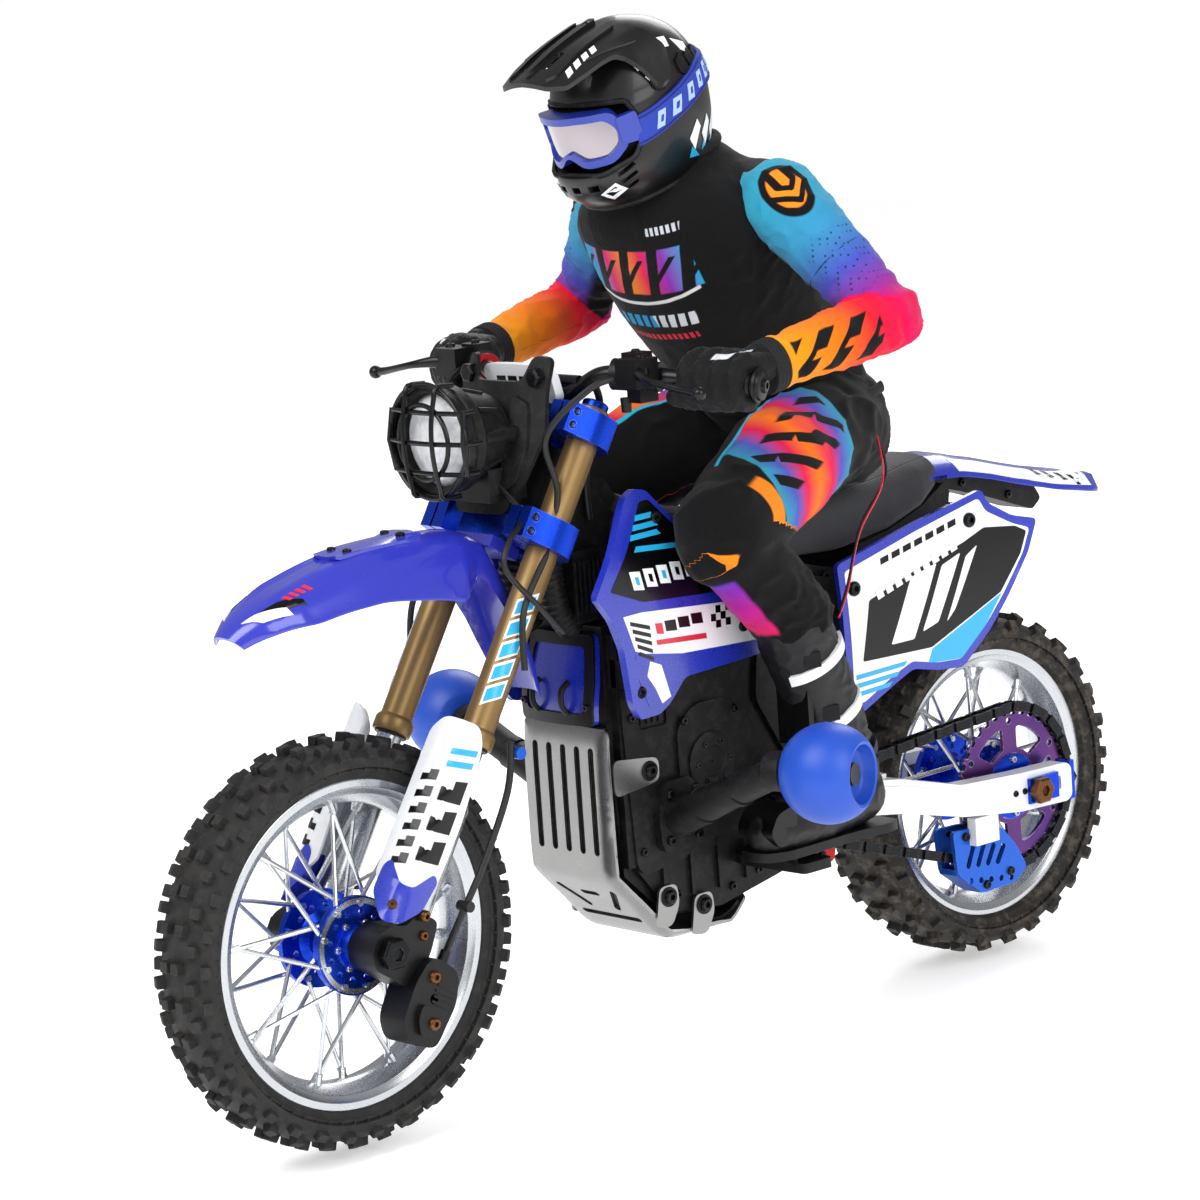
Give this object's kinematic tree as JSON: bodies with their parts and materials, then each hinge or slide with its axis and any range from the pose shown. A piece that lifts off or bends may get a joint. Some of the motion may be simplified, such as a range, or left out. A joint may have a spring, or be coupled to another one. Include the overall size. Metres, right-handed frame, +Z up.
{
  "type": "radio-controlled motorcycle",
  "caption": "Radio-controlled off-road motorcycle with a rider figure: sliding fork, steering head, spoked wheels, chain drive, swingarm with shock, crash rollers and hand levers.",
  "frame": {"origin": "on the ground plane, on the centre plane, midway between the two wheel axles", "axes": "+X towards the front wheel, +Y to the rider's left, +Z up"},
  "size_m": [0.5478, 0.278, 0.4459],
  "materials": {
    "black_nylon": "satin",
    "steel": "brushed",
    "blue_plastic": "gloss",
    "violet_plastic": "gloss",
    "seat_cover": "matte",
    "screw_black": "satin",
    "jersey": "matte",
    "sleeve": "matte",
    "pants": "matte",
    "boot": "satin",
    "glove": "matte",
    "skin": "matte",
    "helmet_shell": "satin",
    "goggle": "satin",
    "blue_anodised": "anodised",
    "gold_tube": "anodised",
    "white_plastic": "gloss",
    "bar_black": "satin",
    "lens_clear": "clear",
    "wire_black": "satin",
    "rim_silver": "satin",
    "spoke_steel": "bright",
    "tyre_rubber": "matte",
    "tyre_rubber_rear": "matte",
    "roller_blue": "satin",
    "sprocket": "anodised",
    "chain_steel": "satin",
    "axle_steel": "satin",
    "guide_blue": "satin",
    "shock_metal": "satin",
    "spring": "gloss",
    "gear_steel": "satin",
    "electronics": "matte"
  },
  "bodies": {
    "chassis": {"chassis_left": "black_nylon", "chassis_right": "black_nylon", "steering_head": "black_nylon", "skid_plate": "steel", "front_hatch": "blue_plastic", "shrouds": "blue_plastic", "seat": "seat_cover", "side_panels": "blue_plastic", "rear_fender": "blue_plastic", "electronics": "electronics", "drive_motor": "shock_metal", "body_screws": "screw_black", "crash_bars": "black_nylon", "rider_jersey": "jersey", "rider_pants": "pants", "rider_boots": "boot"},
    "head": {"helmet": "helmet_shell", "goggles": "goggle", "rider_head": "skin"},
    "arm_left": {"upper_arm_left": "sleeve"},
    "arm_right": {"upper_arm_right": "sleeve"},
    "lower_arm_left": {"forearm_left": "sleeve"},
    "lower_arm_right": {"forearm_right": "sleeve"},
    "steering": {"upper_clamp": "blue_anodised", "lower_clamp": "blue_anodised", "fork_tubes": "gold_tube", "handlebar": "bar_black", "bar_pad": "white_plastic", "bar_controls": "bar_black", "headlight_bowl": "black_nylon", "headlight_lens": "lens_clear", "headlight_cage": "wire_black", "front_fender": "violet_plastic", "gloves": "glove"},
    "fork_lower": {"fork_sliders": "gold_tube", "fork_guards": "white_plastic", "brake_caliper": "black_nylon", "front_axle": "bar_black"},
    "front_wheel": {"front_hub": "blue_anodised", "front_rim": "rim_silver", "front_spokes": "spoke_steel", "front_tyre": "tyre_rubber"},
    "lever_right": {"brake_lever": "bar_black"},
    "lever_left": {"clutch_lever": "bar_black"},
    "roller_left_body": {"roller_left": "roller_blue"},
    "roller_right_body": {"roller_right": "roller_blue"},
    "swingarm_body": {"swingarm": "white_plastic", "chain_guide": "guide_blue", "drive_chain": "chain_steel", "rear_axle": "axle_steel"},
    "rear_wheel": {"rear_hub": "blue_anodised", "rear_rim": "rim_silver", "rear_spokes": "spoke_steel", "rear_tyre": "tyre_rubber_rear", "rear_sprocket": "sprocket"},
    "shock_upper": {"shock_body": "shock_metal", "shock_spring": "spring"},
    "shock_lower": {"shock_rod": "shock_metal"},
    "motor_rotor": {"motor_pinion": "gear_steel"},
    "countershaft": {"drive_gear": "gear_steel"}
  },
  "joints": [
    {"name": "steering_turn", "type": "hinge", "parent": "chassis", "child": "steering", "pos_m": [0.16989, 0, 0.07793], "axis": [-0.5299, 0, 0.848], "range_deg": [-22, 22]},
    {"name": "fork_travel", "type": "slide", "parent": "steering", "child": "fork_lower", "axis": [-0.5299, 0, 0.848], "range_m": [-0.008, 0.022]},
    {"name": "front_wheel_spin", "type": "hinge", "parent": "fork_lower", "child": "front_wheel", "pos_m": [0.186, 0, 0.088], "axis": [0, 1, 0], "continuous": true},
    {"name": "front_brake_squeeze", "type": "hinge", "parent": "steering", "child": "lever_right", "pos_m": [0.052, -0.06, 0.305], "axis": [0, 0, 1], "range_deg": [0, 10]},
    {"name": "clutch_squeeze", "type": "hinge", "parent": "steering", "child": "lever_left", "pos_m": [0.052, 0.06, 0.305], "axis": [0, 0, -1], "range_deg": [0, 10]},
    {"name": "swingarm_travel", "type": "hinge", "parent": "chassis", "child": "swingarm_body", "pos_m": [-0.062, 0, 0.101], "axis": [0, 1, 0], "range_deg": [-5, 9]},
    {"name": "rear_wheel_spin", "type": "hinge", "parent": "swingarm_body", "child": "rear_wheel", "pos_m": [-0.186, 0, 0.082], "axis": [0, 1, 0], "continuous": true},
    {"name": "countershaft_spin", "type": "hinge", "parent": "chassis", "child": "countershaft", "pos_m": [-0.046, 0, 0.098], "axis": [0, 1, 0], "continuous": true},
    {"name": "motor_spin", "type": "hinge", "parent": "chassis", "child": "motor_rotor", "pos_m": [-0.022, 0, 0.098], "axis": [0, 1, 0], "continuous": true},
    {"name": "shock_tilt", "type": "hinge", "parent": "chassis", "child": "shock_upper", "pos_m": [-0.072, 0, 0.186], "axis": [0, 1, 0], "range_deg": [-3, 3]},
    {"name": "shock_stroke", "type": "slide", "parent": "shock_upper", "child": "shock_lower", "axis": [0.2113, 0, 0.9774], "range_m": [-0.004, 0.006], "deforming": ["shock_spring"]},
    {"name": "roller_left_spin", "type": "hinge", "parent": "chassis", "child": "roller_left_body", "pos_m": [0.018, 0.119, 0.138], "axis": [-0.342, 0.9397, 0], "continuous": true},
    {"name": "roller_right_spin", "type": "hinge", "parent": "chassis", "child": "roller_right_body", "pos_m": [0.018, -0.119, 0.138], "axis": [-0.342, -0.9397, 0], "continuous": true},
    {"name": "head_turn", "type": "hinge", "parent": "chassis", "child": "head", "pos_m": [-0.02, 0, 0.38], "axis": [0, 0, 1], "range_deg": [-25, 25]},
    {"name": "shoulder_left_swing", "type": "hinge", "parent": "chassis", "child": "arm_left", "pos_m": [-0.042, 0.052, 0.368], "axis": [0.2559, -0.2429, -0.9357], "range_deg": [-28, 28]},
    {"name": "elbow_left_bend", "type": "hinge", "parent": "arm_left", "child": "lower_arm_left", "pos_m": [-0.064, 0.099, 0.316], "axis": [-0.6328, -0.1639, 0.7568], "range_deg": [-29, 29]},
    {"name": "shoulder_right_swing", "type": "hinge", "parent": "chassis", "child": "arm_right", "pos_m": [-0.042, -0.052, 0.368], "axis": [0.2559, 0.2429, -0.9357], "range_deg": [-28, 28]},
    {"name": "elbow_right_bend", "type": "hinge", "parent": "arm_right", "child": "lower_arm_right", "pos_m": [-0.064, -0.099, 0.316], "axis": [-0.6328, 0.1639, 0.7568], "range_deg": [-29, 29]}
  ],
  "couplings": [
    {"joint": "countershaft_spin", "follows": "rear_wheel_spin", "ratio": 3.6},
    {"joint": "motor_spin", "follows": "rear_wheel_spin", "ratio": -10.8},
    {"joint": "shock_tilt", "follows": "swingarm_travel", "ratio": -0.06946},
    {"joint": "shock_stroke", "follows": "swingarm_travel", "m_per_rad": 0.027737},
    {"joint": "shoulder_left_swing", "follows": "steering_turn", "ratio": -1.244},
    {"joint": "elbow_left_bend", "follows": "steering_turn", "ratio": -1.272},
    {"joint": "shoulder_right_swing", "follows": "steering_turn", "ratio": -1.244},
    {"joint": "elbow_right_bend", "follows": "steering_turn", "ratio": -1.272}
  ]
}
